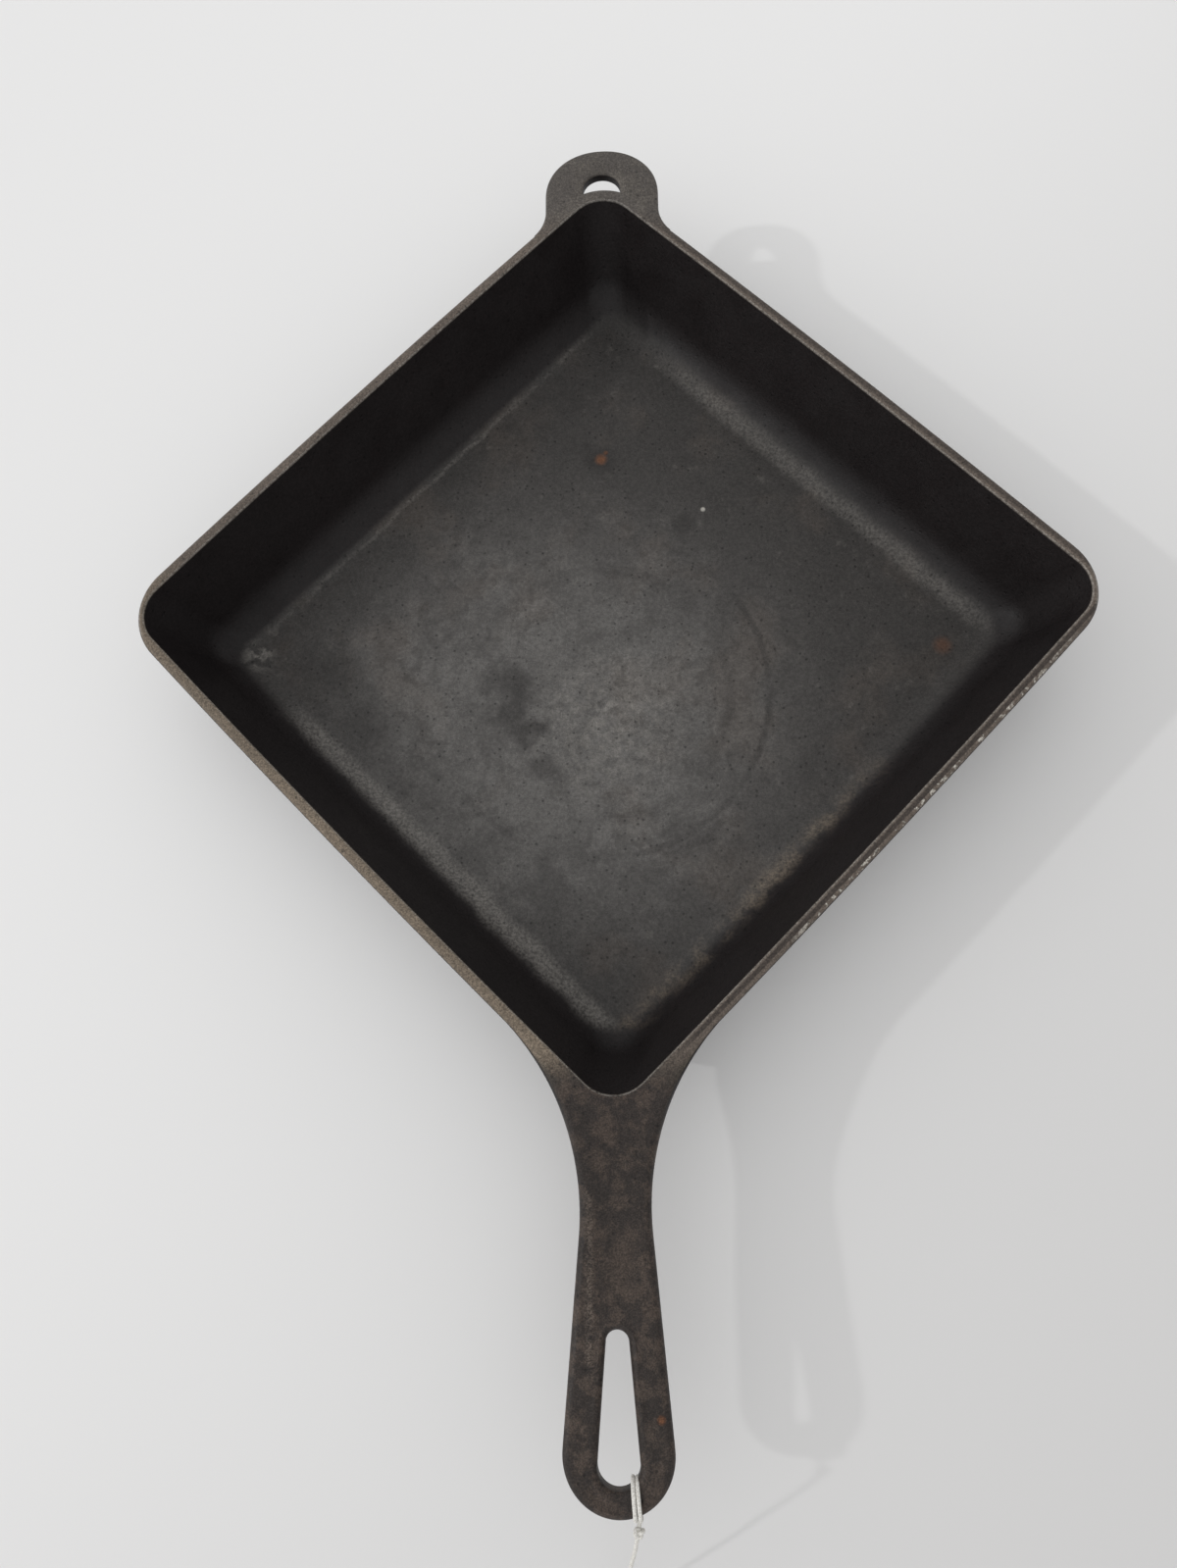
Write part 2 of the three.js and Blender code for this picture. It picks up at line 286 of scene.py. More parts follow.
SHARP_REACH = (RIM_HALF - SIDE_BOW) * DIAGONAL
OUTER_REACH = corner_reach(RIM_HALF, OUTER_CORNER)
ROOT_START = SHARP_REACH / 2
HANDLE_JOINT = OUTER_REACH + 1.35
NECK_PLACE = OUTER_REACH + NECK_DISTANCE
HANDLE_END = OUTER_REACH + HANDLE_LENGTH


def place_ring(ring, half, corner, height):
    """Lay a ring of vertices as a square with round corners and bowed sides."""
    straight = half - SIDE_BOW - corner
    for i, vertex in enumerate(ring):
        quarter, step = divmod(i, CORNER_STEPS + SIDE_STEPS)
        out = quarter * math.pi / 2
        if step <= CORNER_STEPS:
            a = out + (step / CORNER_STEPS - 0.5) * math.pi / 2
            x = straight * DIAGONAL * math.cos(out) + corner * math.cos(a)
            y = straight * DIAGONAL * math.sin(out) + corner * math.sin(a)
        else:
            out += math.pi / 4
            share = 2 * (step - CORNER_STEPS) / SIDE_STEPS - 1
            reach = half - SIDE_BOW * share * share
            x = reach * math.cos(out) - straight * share * math.sin(out)
            y = reach * math.sin(out) + straight * share * math.cos(out)
        vertex.co = (x, y, height)


def ring_edges(bm, ring):
    return [bm.edges.get(pair) for pair in zip(ring, ring[1:] + ring[:1])]


def add_loft(bm, profile, top_half, corner_at_top, taper):
    """Draw a ring out through (half side, height) steps and close both ends."""
    count = 4 * (CORNER_STEPS + SIDE_STEPS)
    ring = bmesh.ops.create_circle(bm, segments=count, radius=top_half)["verts"]
    bmesh.ops.contextual_create(bm, geom=ring_edges(bm, ring))
    for step, (half, height) in enumerate(profile):
        if step:
            grown = bmesh.ops.extrude_edge_only(bm, edges=ring_edges(bm, ring))["geom"]
            fresh = {part for part in grown if isinstance(part, bmesh.types.BMVert)}
            ring = [
                next(e.other_vert(v) for e in v.link_edges if e.other_vert(v) in fresh)
                for v in ring
            ]
        corner = min(max(corner_at_top - (top_half - half) * taper, 2), half / 2)
        place_ring(ring, half, corner, height)
    bmesh.ops.contextual_create(bm, geom=ring_edges(bm, ring))
    bmesh.ops.recalc_face_normals(bm, faces=bm.faces[:])


def wall_profile(top_half, base, fillet, edge_height):
    """Half side and height from a flat base round a fillet and up a leaning wall."""
    sharp_half = top_half - (PAN_HEIGHT - base) * math.tan(DRAFT)
    flat_half = sharp_half - fillet * math.tan((math.pi / 2 - DRAFT) / 2)
    profile = [(half, base) for half in (10, 25, 40, 55, 70, 85)]
    profile.append((flat_half - 1.5, base))
    steps = 12
    for i in range(steps + 1):
        a = -math.pi / 2 + (i / steps) * (math.pi / 2 - DRAFT)
        profile.append((flat_half + fillet * math.cos(a), base + fillet + fillet * math.sin(a)))
    low_half, low = profile[-1]
    for share in (0.35, 0.7):
        height = low + (PAN_HEIGHT - edge_height - low) * share
        profile.append((low_half + (height - low) * math.tan(DRAFT), height))
    return profile


def rim_rounding(half, radius, inward):
    """A quarter round between a wall and the rim's flat top."""
    steps = 5
    turned = []
    for i in range(steps + 1):
        a = (i / steps) * math.pi / 2
        across = radius * (1 - math.cos(a))
        turned.append((half - inward * across, PAN_HEIGHT - radius + radius * math.sin(a)))
    return turned


def mesh_object(name, bm):
    mesh = bpy.data.meshes.new(name)
    bmesh.ops.transform(bm, matrix=Matrix.Scale(MM, 4), verts=bm.verts)
    bm.to_mesh(mesh)
    bm.free()
    made = bpy.data.objects.new(name, mesh)
    scene.collection.objects.link(made)
    return made


def pan_outside():
    bm = bmesh.new()
    profile = wall_profile(RIM_HALF, 0, FOOT_FILLET, RIM_ROUND_OUTSIDE)
    profile += rim_rounding(RIM_HALF - 0.4, RIM_ROUND_OUTSIDE, 1)
    add_loft(bm, profile, RIM_HALF, OUTER_CORNER, CORNER_TAPER)
    return mesh_object("casting", bm)


def pan_cavity():
    bm = bmesh.new()
    top_half = RIM_HALF - RIM_WIDTH
    profile = wall_profile(top_half, FLOOR_HEIGHT, FLOOR_FILLET, RIM_ROUND_INSIDE)
    profile += rim_rounding(top_half - 0.1, RIM_ROUND_INSIDE, -1)
    profile.append((profile[-1][0], PAN_HEIGHT + 6))
    add_loft(bm, profile, top_half, INNER_CORNER, INNER_CORNER_TAPER)
    return mesh_object("cavity", bm)


def swing(bm, start, centre, angle, steps):
    """Draw an arc of edges from a vertex round a centre, and return its last vertex."""
    made = bmesh.ops.spin(
        bm, geom=[start], cent=(*centre, 0), axis=(0, 0, 1), angle=angle, steps=steps, use_merge=False
    )
    return next(part for part in made["geom_last"] if isinstance(part, bmesh.types.BMVert))


def draw_to(bm, start, x, y):
    end = bm.verts.new((x, y, 0))
    bm.edges.new((start, end))
    return end


def plate_from_half(bm, thickness, edge, segments):
    """Fill the half outline, give it thickness, round its edges and mirror it."""
    bmesh.ops.remove_doubles(bm, verts=bm.verts[:], dist=1e-4)
    made = bmesh.ops.edgeloop_fill(bm, edges=bm.edges[:])
    face = made["faces"][0]
    face.normal_update()
    if face.normal.z < 0:
        face.normal_flip()
    grown = bmesh.ops.extrude_face_region(bm, geom=[face], use_keep_orig=True)["geom"]
    lower = [part for part in grown if isinstance(part, bmesh.types.BMVert)]
    bmesh.ops.translate(bm, verts=lower, vec=(0, 0, -thickness))
    seam = [f for f in bm.faces if all(abs(v.co.x) < 1e-4 for v in f.verts)]
    bmesh.ops.delete(bm, geom=seam, context="FACES")
    bmesh.ops.recalc_face_normals(bm, faces=bm.faces[:])
    rims = [
        e
        for e in bm.edges
        if len(e.link_faces) == 2
        and abs(e.verts[0].co.z - e.verts[1].co.z) < 1e-4
        and e.calc_face_angle() > 1.2
    ]
    bmesh.ops.bevel(
        bm,
        geom=rims,
        offset=edge,
        offset_type="OFFSET",
        segments=segments,
        profile=0.5,
        affect="EDGES",
        material=-1,
        clamp_overlap=False,
    )
    everything = bm.verts[:] + bm.edges[:] + bm.faces[:]
    bmesh.ops.mirror(bm, geom=everything, matrix=Matrix(), merge_dist=1e-3, axis="X")
    bmesh.ops.recalc_face_normals(bm, faces=bm.faces[:])


def cut_across(bm, places, direction):
    for place in places:
        bmesh.ops.bisect_plane(
            bm,
            geom=bm.verts[:] + bm.edges[:] + bm.faces[:],
            dist=1e-4,
            plane_co=direction * place,
            plane_no=direction,
        )


def along(steps, place):
    """A value that runs smoothly through (place, value) steps."""
    for (from_place, start), (to_place, end) in zip(steps, steps[1:]):
        if place <= to_place:
            share = min(1, max(0, (place - from_place) / (to_place - from_place)))
            return start + (end - start) * share * share * (3 - 2 * share)
    return steps[-1][1]


TOP_LINE = [
    (HANDLE_JOINT - 4, 0),
    (NECK_PLACE + 8, -NECK_DROP),
    (HANDLE_END, -END_DROP),
]
DEPTH_LINE = [
    (SHARP_REACH - 32, LIP_THICKNESS),
    (HANDLE_JOINT, ROOT_THICKNESS),
    (NECK_PLACE + 10, NECK_THICKNESS),
    (HANDLE_END, END_THICKNESS),
]


def handle_plate():
    bm = bmesh.new()
    neck_half = NECK_WIDTH / 2
    flare = (NECK_PLACE - (SHARP_REACH - neck_half)) / math.tan(math.pi / 8)
    flare_centre = Vector((neck_half + flare, -NECK_PLACE))
    end_centre = Vector((0, HANDLE_END_RADIUS - HANDLE_END))
    across = flare_centre - end_centre
    lean = math.atan2(across.y, across.x) - math.acos((flare + HANDLE_END_RADIUS) / across.length)
    root = bm.verts.new((0, -ROOT_START, 0))
    start = draw_to(bm, root, flare_centre.x - flare / DIAGONAL, -ROOT_START)
    start = draw_to(bm, start, flare_centre.x - flare / DIAGONAL, flare_centre.y + flare / DIAGONAL)
    start = swing(bm, start, flare_centre, math.pi / 4 + lean, 28)
    start = draw_to(
        bm,
        start,
        HANDLE_END_RADIUS * math.cos(lean),
        end_centre.y + HANDLE_END_RADIUS * math.sin(lean),
    )
    start = swing(bm, start, end_centre, -math.pi / 2 - lean, 26)

    wide = END_BAR + SLOT_END_RADIUS - HANDLE_END
    narrow = wide + SLOT_LENGTH - SLOT_END_RADIUS - SLOT_NARROW_RADIUS
    slant = math.asin((SLOT_END_RADIUS - SLOT_NARROW_RADIUS) / (narrow - wide))
    start = draw_to(bm, start, 0, wide - SLOT_END_RADIUS)
    start = swing(bm, start, (0, wide), math.pi / 2 + slant, 16)
    start = draw_to(
        bm,
        start,
        SLOT_NARROW_RADIUS * math.cos(slant),
        narrow + SLOT_NARROW_RADIUS * math.sin(slant),
    )
    start = swing(bm, start, (0, narrow), math.pi / 2 - slant, 12)
    bm.edges.new((start, root))
    plate_from_half(bm, NECK_THICKNESS, HANDLE_EDGE, 6)
    cut_across(bm, [-(ROOT_START + 4 + 4 * i) for i in range(48)], Vector((0, 1, 0)))
    cut_across(bm, [2.5 * i for i in range(-5, 6)], Vector((1, 0, 0)))
    for vertex in bm.verts:
        distance = -vertex.co.y
        depth = vertex.co.z * along(DEPTH_LINE, distance) / NECK_THICKNESS
        dish = 0
        if vertex.co.z > -0.01 and distance > HANDLE_JOINT:
            fall = min(1, (distance - HANDLE_JOINT) / 20)
            dish = HANDLE_DISH * fall * max(0, 1 - (vertex.co.x / (neck_half - 2)) ** 2)
        vertex.co.z = PAN_HEIGHT + along(TOP_LINE, distance) + depth - dish
    return mesh_object("handle_plate", bm)


def tab_plate():
    bm = bmesh.new()
    half = TAB_WIDTH / 2
    blend_y = SHARP_REACH - half + TAB_BLEND * math.tan(math.pi / 8)
    root_half = half + TAB_BLEND * (1 - 1 / DIAGONAL)
    root = bm.verts.new((0, ROOT_START, 0))
    start = draw_to(bm, root, root_half, ROOT_START)
    start = draw_to(bm, start, root_half, blend_y - TAB_BLEND / DIAGONAL)
    start = swing(bm, start, (half + TAB_BLEND, blend_y), -math.pi / 4, 10)
    steps = 30
    for i in range(steps + 1):
        a = math.pi / 2 * i / steps
        x = half * math.cos(a) ** (2 / TAB_ROUNDNESS) if i < steps else 0
        y = OUTER_REACH + TAB_LENGTH * math.sin(a) ** (2 / TAB_ROUNDNESS)
        start = draw_to(bm, start, x, y)
    start = draw_to(bm, start, 0, HOLE_CENTRE + HOLE_RADIUS)
    dip = math.asin((HOLE_SIDE - HOLE_CENTRE) / HOLE_RADIUS)
    start = swing(bm, start, (0, HOLE_CENTRE), dip - math.pi / 2, 20)
    chord = start.co.x
    crown = (chord**2 + HOLE_SIDE_CROWN**2) / (2 * HOLE_SIDE_CROWN)
    start = swing(
        bm, start, (0, HOLE_SIDE + HOLE_SIDE_CROWN - crown), math.asin(chord / crown), 8
    )
    bm.edges.new((start, root))
    plate_from_half(bm, TAB_THICKNESS, TAB_EDGE, 4)
    bmesh.ops.translate(bm, verts=bm.verts, vec=(0, 0, PAN_HEIGHT))
    return mesh_object("tab_plate", bm)


def combine(target, other, operation):
    """Join a solid to the target or cut it away, and keep the result as the target's mesh."""
    cut = target.modifiers.new(operation.lower(), "BOOLEAN")
    cut.operation = operation
    cut.object = other
    cut.solver = "EXACT"
    bpy.context.view_layer.update()
    made = target.evaluated_get(bpy.context.evaluated_depsgraph_get())
    mesh = bpy.data.meshes.new_from_object(made)
    target.modifiers.clear()
    target.data = mesh
    bpy.data.objects.remove(other)


casting = pan_outside()
combine(casting, handle_plate(), "UNION")
combine(casting, tab_plate(), "UNION")
combine(casting, pan_cavity(), "DIFFERENCE")
casting.data.shade_smooth()
casting.data.set_sharp_from_angle(angle=math.radians(32))

IRON_WALL = (0.0118, 0.0096, 0.0097, 1)
IRON_FLOOR = (0.039, 0.036, 0.034, 1)
IRON_WORN = (0.112, 0.107, 0.102, 1)
IRON_BURNT = (0.022, 0.02, 0.019, 1)
IRON_BARE_AND_SHEEN = (0.24, 0.225, 0.205, 1)
IRON_BROWN = (0.085, 0.066, 0.052, 1)
IRON_RIM = (0.1, 0.081, 0.067, 1)
IRON_RIM_BROWN = (0.14, 0.112, 0.084, 1)
IRON_FLARE = (0.082, 0.07, 0.054, 1)
IRON_TAB = (0.066, 0.058, 0.052, 1)
IRON_TAB_BROWN = (0.087, 0.077, 0.067, 1)
IRON_HANDLE_AND_RIM_SHADE = (0.0245, 0.0193, 0.017, 1)
IRON_HANDLE_BROWN = (0.054, 0.04, 0.032, 1)
RUST = (0.15, 0.06, 0.026, 1)
CHIP = (0.5, 0.48, 0.43, 1)
FLOOR_WEAR_PLACE = (-0.026, -0.038, 0.005)
WORN_PATCH_PLACE = (-0.004, -0.033, 0.005)
RING_PLACE = (-0.005, -0.02, 0.005)
# Marks on the floor: x, y, full and outer radius in mm, strength, colour.
FLOOR_MARKS = [
    (-40, -14, 4, 12, 0.62, IRON_BURNT),
    (-41, -27, 3, 11, 0.62, IRON_BURNT),
    (-31, -37, 3, 11, 0.7, IRON_BURNT),
    (-26, -50, 2, 8, 0.5, IRON_BURNT),
    (30, 50, 2.5, 6, 0.45, IRON_BURNT),
    (-114, -11, 2, 22, 0.55, IRON_BURNT),
    (-98, -30, 2, 18, 0.35, IRON_BURNT),
    (0, 145, 4, 19, 0.5, IRON_BURNT),
    (-3, 80, 3, 9, 0.6, IRON_BURNT),
    (-3, 80, 0.4, 3.4, 0.85, RUST),
    (-1, 83, 0.2, 1.4, 0.6, RUST),
    (-9, 86, 0.5, 3.5, 0.5, IRON_BURNT),
    (128, -5, 0.6, 5, 0.5, RUST),
    (122, -8, 2, 18, 0.4, IRON_BURNT),
    (38, 56, 0.4, 1.3, 0.8, CHIP),
]


def times(tree, *values):
    product = values[0]
    for value in values[1:]:
        product = maths(tree, "MULTIPLY", product, value)
    return product


def spot(tree, place, centre, near, far):
    """1 within near of the centre and 0 beyond far."""
    inputs = {0: place, 1: centre}
    away = node(tree, "ShaderNodeVectorMath", inputs, operation="DISTANCE").outputs["Value"]
    return fade(tree, away, near, far, 1.0, 0.0)


def band(tree, value, low, high, soft):
    """1 from low to high, falling to 0 over soft on both sides."""
    return times(
        tree,
        fade(tree, value, low - soft, low),
        fade(tree, value, high, high + soft, 1.0, 0.0),
    )


def iron_material():
    material, tree, shader = new_material("seasoned_iron")
    place = node(tree, "ShaderNodeTexCoord").outputs["Object"]
    split = node(tree, "ShaderNodeSeparateXYZ", {0: place})
    x, y, z = split.outputs
    turned = node(tree, "ShaderNodeMapping", {0: place, 2: (0, 0, math.radians(-45))})
    sides = node(tree, "ShaderNodeSeparateXYZ", {0: turned.outputs[0]})
    a, b = sides.outputs[0], sides.outputs[1]
    far_a, far_b = maths(tree, "ABSOLUTE", a), maths(tree, "ABSOLUTE", b)
    reach = maths(tree, "MAXIMUM", far_a, far_b)
    bow = maths(tree, "POWER", maths(tree, "MINIMUM", far_a, far_b), 2.0)
    reach = maths(tree, "ADD", reach, maths(tree, "MULTIPLY", bow, SIDE_BOW * MM / 0.1055**2))

    blotches = noise(tree, place, 28.0, 4.0)
    clouds = noise(tree, place, 90.0, 4.0, 0.6)
    grain = noise(tree, place, 900.0, 3.0, 0.65)
    fine = noise(tree, place, 2200.0, 2.0, 0.6)
    pits = node(tree, "ShaderNodeTexVoronoi", {"Vector": place, "Scale": 420.0})
    pit_chance = node(tree, "ShaderNodeSeparateColor", {0: pits.outputs["Color"]}).outputs[0]
    pit = times(
        tree,
        fade(tree, pits.outputs["Distance"], 0.1, 0.3, 1.0, 0.0),
        fade(tree, pit_chance, 0.62, 0.7),
    )
    ragged = node(tree, "ShaderNodeTexNoise", {"Vector": place, "Scale": 75.0, "Detail": 4.0})
    shift = {0: ragged.outputs["Color"], 1: (0.022,) * 3, 2: (-0.011,) * 3}
    shift = node(tree, "ShaderNodeVectorMath", shift, operation="MULTIPLY_ADD").outputs[0]
    astray = node(tree, "ShaderNodeVectorMath", {0: place, 1: shift}).outputs[0]

    upright = node(tree, "ShaderNodeNewGeometry").outputs["Normal"]
    upright = node(tree, "ShaderNodeSeparateXYZ", {0: upright}).outputs[2]
    inside = times(tree, fade(tree, reach, 0.1205, 0.1215, 1.0, 0.0), fade(tree, upright, 0.0, 0.2))
    low = fade(tree, z, 0.0056, 0.0095, 1.0, 0.0)
    shaded_edge = times(tree, fade(tree, b, 0.1065, 0.1035), fade(tree, a, -0.1115, -0.1085))
    out_to_corner = maths(
        tree, "MAXIMUM", maths(tree, "ABSOLUTE", x), maths(tree, "ABSOLUTE", y)
    )
    in_corner = fade(tree, out_to_corner, 0.1505, 0.1445)
    on_floor = times(tree, inside, low, shaded_edge, in_corner)
    wear = times(
        tree,
        spot(tree, astray, FLOOR_WEAR_PLACE, 0.015, 0.135),
        fade(tree, clouds, 0.3, 0.7, 0.55, 1.15),
        fade(tree, y, -0.09, -0.13, 1.12, 0.75),
    )
    patch = times(
        tree,
        spot(tree, astray, WORN_PATCH_PLACE, 0.004, 0.04),
        fade(tree, noise(tree, place, 260.0, 4.0, 0.7), 0.42, 0.62),
    )
    floor_tone = blend_colours(tree, wear, IRON_FLOOR, IRON_WORN)
    floor_tone = blend_colours(tree, times(tree, patch, 0.32), floor_tone, IRON_BARE_AND_SHEEN)
    stained = noise(tree, place, 170.0, 5.0, 0.62)
    stains = times(tree, fade(tree, stained, 0.5, 0.62), fade(tree, blotches, 0.4, 0.58), 0.34)
    floor_tone = blend_colours(tree, stains, floor_tone, IRON_BURNT)
    worn_flecks = times(tree, fade(tree, stained, 0.42, 0.3), fade(tree, clouds, 0.45, 0.6), 0.12)
    floor_tone = blend_colours(tree, worn_flecks, floor_tone, IRON_BARE_AND_SHEEN)
    brown = times(tree, fade(tree, blotches, 0.5, 0.68), 0.2)
    floor_tone = blend_colours(tree, brown, floor_tone, IRON_BROWN)
    streaks = node(tree, "ShaderNodeMapping", {0: place, 2: (0, 0, math.radians(28)), 3: (1, 0.06, 1)})
    streaks = noise(tree, streaks.outputs[0], 1500.0, 2.0)
    scratches = times(tree, fade(tree, streaks, 0.63, 0.7), patch, 0.6)
    floor_tone = blend_colours(tree, scratches, floor_tone, IRON_BARE_AND_SHEEN)
    from_ring = {0: place, 1: RING_PLACE}
    from_ring = node(tree, "ShaderNodeVectorMath", from_ring, operation="DISTANCE").outputs["Value"]
    rings = maths(
        tree,
        "MAXIMUM",
        times(tree, band(tree, from_ring, 0.0655, 0.0665, 0.0014), fade(tree, b, 0.03, -0.03)),
        times(tree, band(tree, from_ring, 0.05, 0.0512, 0.003), 0.6),
    )
    rings = times(tree, rings, fade(tree, blotches, 0.36, 0.6), 0.42)
    floor_tone = blend_colours(tree, rings, floor_tone, IRON_BURNT)
    for mark_x, mark_y, near, far, strength, mark_colour in FLOOR_MARKS:
        centre = (mark_x * MM, mark_y * MM, FLOOR_HEIGHT * MM)
        coordinates = astray if far > 10 else place
        amount = times(tree, spot(tree, coordinates, centre, near * MM, far * MM), strength)
        floor_tone = blend_colours(tree, amount, floor_tone, mark_colour)

    # Painted highlights where the floor turns up into the walls, partly wear: upper right, lower left, lower
    # right, upper left.
    broken = fade(tree, clouds, 0.36, 0.62)
    astray_sides = node(tree, "ShaderNodeMapping", {0: astray, 2: (0, 0, math.radians(-45))})
    astray_sides = node(tree, "ShaderNodeSeparateXYZ", {0: astray_sides.outputs[0]}).outputs
    loose_a = maths(tree, "ADD", times(tree, a, 0.8), times(tree, astray_sides[0], 0.2))
    loose_b = maths(tree, "ADD", times(tree, b, 0.8), times(tree, astray_sides[1], 0.2))
    sheen_and_wear_strips = [
        (band(tree, loose_a, 0.1035, 0.105, 0.0045), band(tree, b, -0.085, 0.05, 0.03), 0.2, IRON_BARE_AND_SHEEN),
        (band(tree, loose_a, -0.108, -0.1055, 0.0045), band(tree, b, -0.1, 0.05, 0.03), 0.36, IRON_BARE_AND_SHEEN),
        (
            times(tree, band(tree, loose_b, -0.109, -0.107, 0.0045), broken),
            band(tree, a, -0.105, 0.0, 0.05),
            0.55,
            IRON_RIM_BROWN,
        ),
        (
            times(tree, band(tree, loose_b, 0.1025, 0.103, 0.001), broken),
            band(tree, a, -0.08, 0.08, 0.02),
            0.2,
            IRON_BARE_AND_SHEEN,
        ),
    ]
    colour = blend_colours(tree, on_floor, IRON_WALL, floor_tone)
    for strip, stretch, strength, strip_colour in sheen_and_wear_strips:
        rough = fade(tree, grain, 0.35, 0.6, 0.45, 1.0)
        amount = times(tree, strip, stretch, rough, inside, in_corner, strength)
        colour = blend_colours(tree, amount, colour, strip_colour)
    # A painted highlight on the fillet in the pan's left corner.
    corner_painted_highlight = times(
        tree,
        spot(tree, place, (-0.14, -0.002, 0.008), 0.001, 0.009),
        fade(tree, noise(tree, place, 300.0), 0.4, 0.6),
        inside,
        0.65,
    )
    colour = blend_colours(tree, corner_painted_highlight, colour, IRON_BARE_AND_SHEEN)

    top = fade(tree, z, 0.0455, 0.0461)
    past_rim = times(tree, fade(tree, y, -0.17, -0.177), fade(tree, z, 0.024, 0.031))
    by_rim = times(tree, spot(tree, place, (0, -0.23, 0.04), 0.064, 0.082), top)
    on_handle = maths(tree, "MAXIMUM", past_rim, by_rim)
    on_tab = fade(tree, y, 0.148, 0.166)
    handle_tone = blend_colours(
        tree,
        maths(
            tree,
            "MAXIMUM",
            times(tree, fade(tree, stained, 0.44, 0.62), 0.85),
            times(tree, spot(tree, astray, (0.002, -0.218, 0.042), 0.002, 0.011), 0.8),
        ),
        IRON_HANDLE_AND_RIM_SHADE,
        IRON_HANDLE_BROWN,
    )
    # A lighter line near the handle's left edge: wear, and partly a painted highlight where the raised edge
    # faces the lamp.
    worn_and_highlit_side = times(
        tree,
        band(tree, x, -0.0088, -0.0082, 0.0016),
        band(tree, y, -0.244, -0.2, 0.012),
        fade(tree, stained, 0.42, 0.55),
        fade(tree, fine, 0.35, 0.6),
        0.55,
    )
    handle_tone = blend_colours(tree, worn_and_highlit_side, handle_tone, IRON_RIM)
    rust_spot = times(tree, spot(tree, place, (0.013, -0.262, 0.043), 0.0004, 0.0018), 0.75)
    handle_tone = blend_colours(tree, rust_spot, handle_tone, RUST)
    colour = blend_colours(tree, on_handle, colour, handle_tone)

    tab_tone = fade(tree, clouds, 0.35, 0.65)
    tab_tone = blend_colours(tree, tab_tone, IRON_TAB, IRON_TAB_BROWN)
    off_handle = maths(tree, "SUBTRACT", 1.0, on_handle)
    on_rim = times(tree, top, off_handle)
    across = maths(tree, "SUBTRACT", reach, 0.1241)
    lower_right = times(tree, fade(tree, b, -0.11, -0.118), fade(tree, a, -0.1, -0.085))
    rim_tone = blend_colours(tree, fade(tree, a, -0.09, -0.12), IRON_RIM, IRON_RIM_BROWN)
    # Painted shade: a dark band along the middle of the rim's top on the lower right side, where the real rim
    # has a groove.
    rim_painted_shade = times(tree, band(tree, across, 0.001, 0.0021, 0.0004), lower_right, 0.75)
    rim_tone = blend_colours(tree, rim_painted_shade, rim_tone, IRON_HANDLE_AND_RIM_SHADE)
    # Painted shade on the outer part of the rim's top on the upper right side, which faces away from the
    # lamp.
    rim_upper_painted_shade = times(tree, fade(tree, across, 0.0008, 0.0018), fade(tree, a, 0.1, 0.12), 0.6)
    rim_tone = blend_colours(tree, rim_upper_painted_shade, rim_tone, IRON_HANDLE_AND_RIM_SHADE)
    chips = times(
        tree,
        band(tree, across, 0.0025, 0.0034, 0.0003),
        lower_right,
        fade(tree, noise(tree, place, 330.0, 3.0, 0.7), 0.5, 0.6),
        band(tree, a, -0.03, 0.085, 0.02),
    )
    rim_tone = blend_colours(tree, times(tree, chips, 0.7), rim_tone, CHIP)
    flare = times(tree, fade(tree, across, 0.004, 0.006), fade(tree, y, -0.13, -0.15))
    rim_tone = blend_colours(tree, flare, rim_tone, IRON_FLARE)
    rim_tone = blend_colours(tree, on_tab, rim_tone, tab_tone)
    colour = blend_colours(tree, on_rim, colour, rim_tone)
    rim_edge = times(tree, top, fade(tree, upright, 0.98, 0.85), fade(tree, reach, 0.126, 0.1256))
    rim_edge = times(tree, rim_edge, fade(tree, grain, 0.3, 0.55, 0.3, 1.0), 0.45)
    colour = blend_colours(tree, rim_edge, colour, IRON_BARE_AND_SHEEN)
    specks = node(tree, "ShaderNodeTexVoronoi", {"Vector": place, "Scale": 95.0})
    speck_chance = node(tree, "ShaderNodeSeparateColor", {0: specks.outputs["Color"]}).outputs[1]
    specks = times(
        tree,
        fade(tree, specks.outputs["Distance"], 0.03, 0.075, 1.0, 0.0),
        fade(tree, speck_chance, 0.7, 0.72),
        on_tab,
        top,
        0.75,
    )
    colour = blend_colours(tree, specks, colour, CHIP)

    cast_places = maths(tree, "MAXIMUM", on_handle, top)
    rough_cast = times(tree, fade(tree, fine, 0.34, 0.66, -0.2, 0.26), cast_places)
    speckle = times(
        tree,
        maths(tree, "ADD", 1.0, rough_cast),
        fade(tree, grain, 0.3, 0.75, 0.8, 1.28),
        fade(tree, fine, 0.3, 0.7, 0.85, 1.18),
        fade(tree, blotches, 0.3, 0.7, 0.9, 1.12),
        maths(tree, "SUBTRACT", 1.0, times(tree, pit, 0.5)),
    )
    shaded = node(tree, "ShaderNodeVectorMath", {0: colour, 3: speckle}, operation="SCALE")
    tree.links.new(shaded.outputs[0], shader.inputs["Base Color"])

    tree.links.new(fade(tree, clouds, 0.3, 0.7, 0.38, 0.55), shader.inputs["Roughness"])
    shader.inputs["Specular IOR Level"].default_value = 0.22
    height = maths(tree, "SUBTRACT", maths(tree, "ADD", grain, times(tree, fine, 0.4)), times(tree, pit, 0.7))
    bump = node(tree, "ShaderNodeBump", {"Height": height, "Strength": 0.45, "Distance": 0.0003})
    tree.links.new(bump.outputs["Normal"], shader.inputs["Normal"])
    return material


casting.data.materials.clear()
casting.data.materials.append(iron_material())
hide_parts("pan_body", "handle", "helper_tab")
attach(casting, "root")

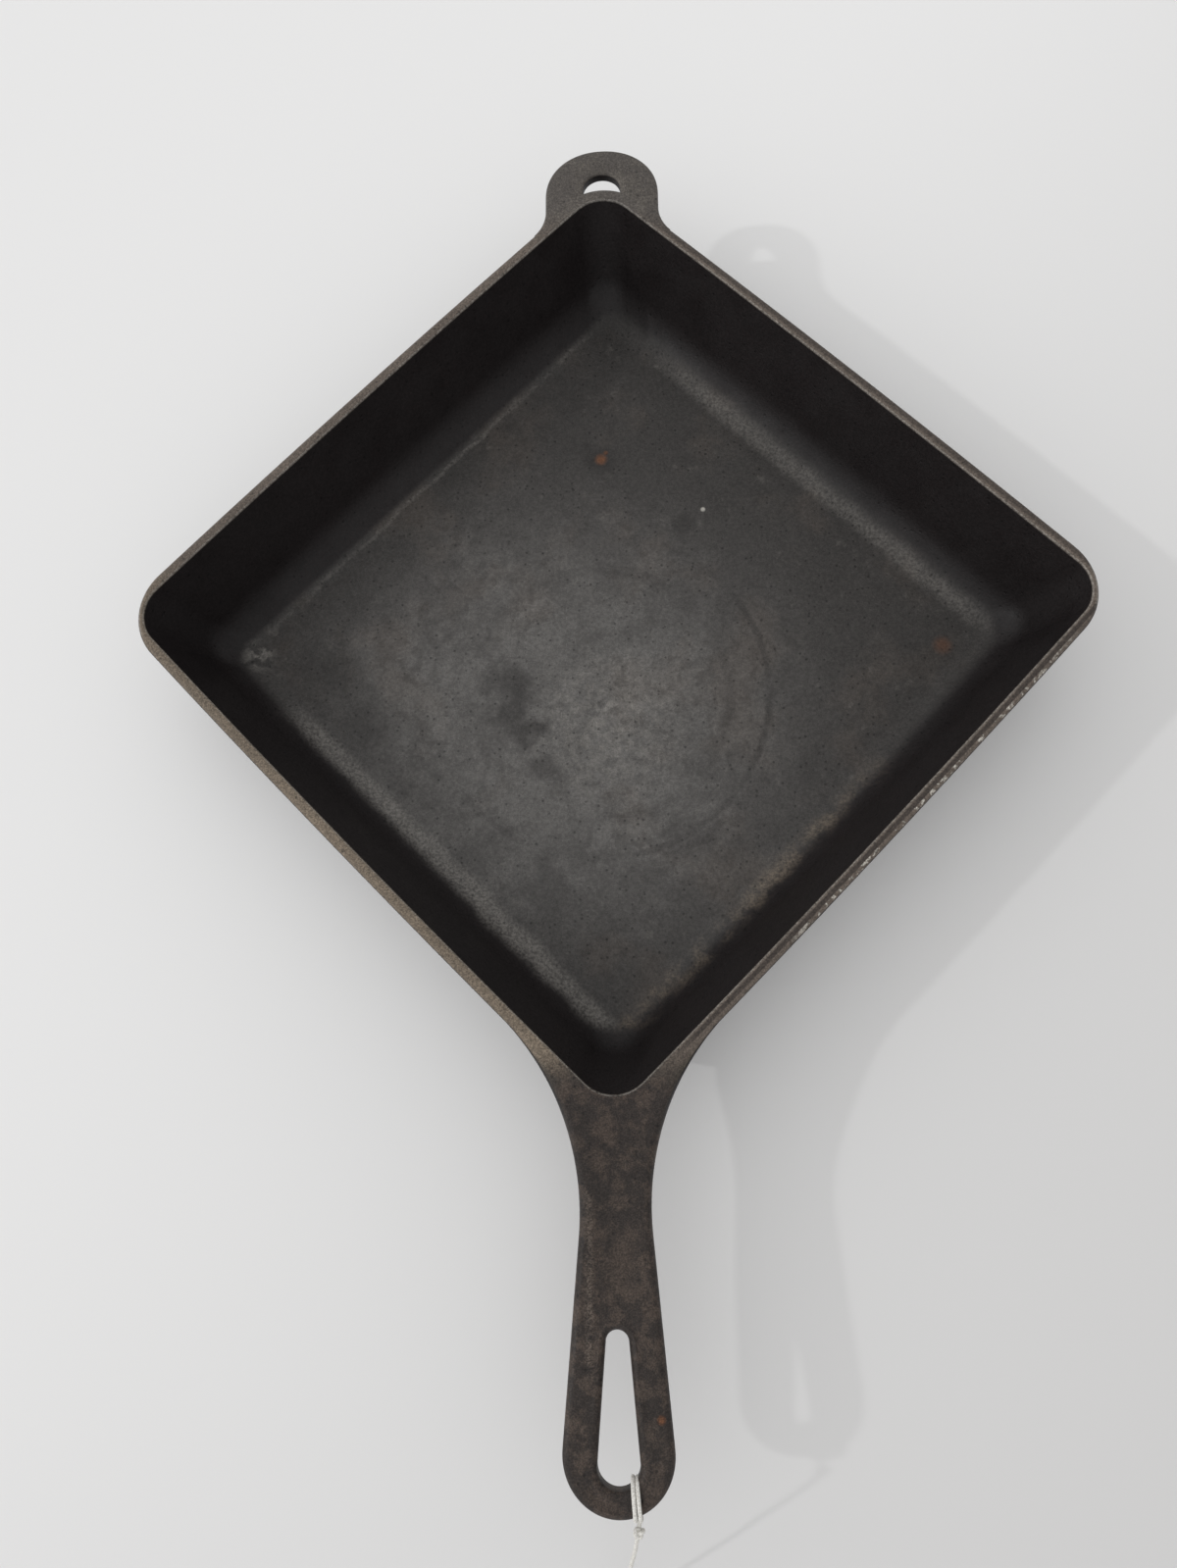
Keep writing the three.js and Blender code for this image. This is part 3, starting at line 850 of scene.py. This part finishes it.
# TABLE AND LIGHT
# A pale painted table, soft light from all round and a wide soft lamp from the left.
TABLE_SIZE = 16.0
TABLE_COLOUR = (0.8, 0.798, 0.796, 1)
TABLE_SHADED_COLOUR = (0.6, 0.595, 0.592, 1)
SKY_STRENGTH = 0.92
LAMP_STRENGTH = 0.45
LAMP_TURN = (0, -56.9, 2.2)  # degrees
LAMP_WIDTH = 1.8  # degrees

bm = bmesh.new()
bmesh.ops.create_grid(bm, x_segments=1, y_segments=1, size=TABLE_SIZE / 2)
table_mesh = bpy.data.meshes.new("table")
bm.to_mesh(table_mesh)
bm.free()
table_mesh.transform(Matrix.Translation((0, 0, -0.0001)))
table = bpy.data.objects.new("table", table_mesh)
scene.collection.objects.link(table)
table_paint, table_tree, table_shader = new_material("table_paint")
table_place = node(table_tree, "ShaderNodeTexCoord").outputs["Object"]
across_table = node(table_tree, "ShaderNodeMapping", {0: table_place, 2: (0, 0, math.radians(40))})
across_table = node(table_tree, "ShaderNodeSeparateXYZ", {0: across_table.outputs[0]}).outputs[0]
# Painted shade: the table's colour darkens from the left towards the lower right, standing in for the lamp's
# fall-off.
table_tone = fade(table_tree, across_table, -0.15, 0.45)
table_tone = blend_colours(table_tree, table_tone, TABLE_COLOUR, TABLE_SHADED_COLOUR)
table_tree.links.new(table_tone, table_shader.inputs["Base Color"])
table_shader.inputs["Roughness"].default_value = 0.7
table_shader.inputs["Specular IOR Level"].default_value = 0.2
table_mesh.materials.append(table_paint)

world = bpy.data.worlds.new("soft_room")
world.use_nodes = True
sky_tree = world.node_tree
sky_side = node(sky_tree, "ShaderNodeTexCoord").outputs["Generated"]
sky_side = node(sky_tree, "ShaderNodeSeparateXYZ", {0: sky_side}).outputs[0]
sky_level = fade(sky_tree, sky_side, -1, 1, 1.25 * SKY_STRENGTH, 0.75 * SKY_STRENGTH)
sky_tree.nodes["Background"].inputs[0].default_value = (1, 1, 1, 1)
sky_tree.links.new(sky_level, sky_tree.nodes["Background"].inputs[1])
scene.world = world

lamp_data = bpy.data.lights.new("window", "SUN")
lamp_data.energy = LAMP_STRENGTH
lamp_data.angle = math.radians(LAMP_WIDTH)
lamp = bpy.data.objects.new("window", lamp_data)
lamp.rotation_euler = [math.radians(angle) for angle in LAMP_TURN]
scene.collection.objects.link(lamp)

scene.view_settings.view_transform = "Standard"
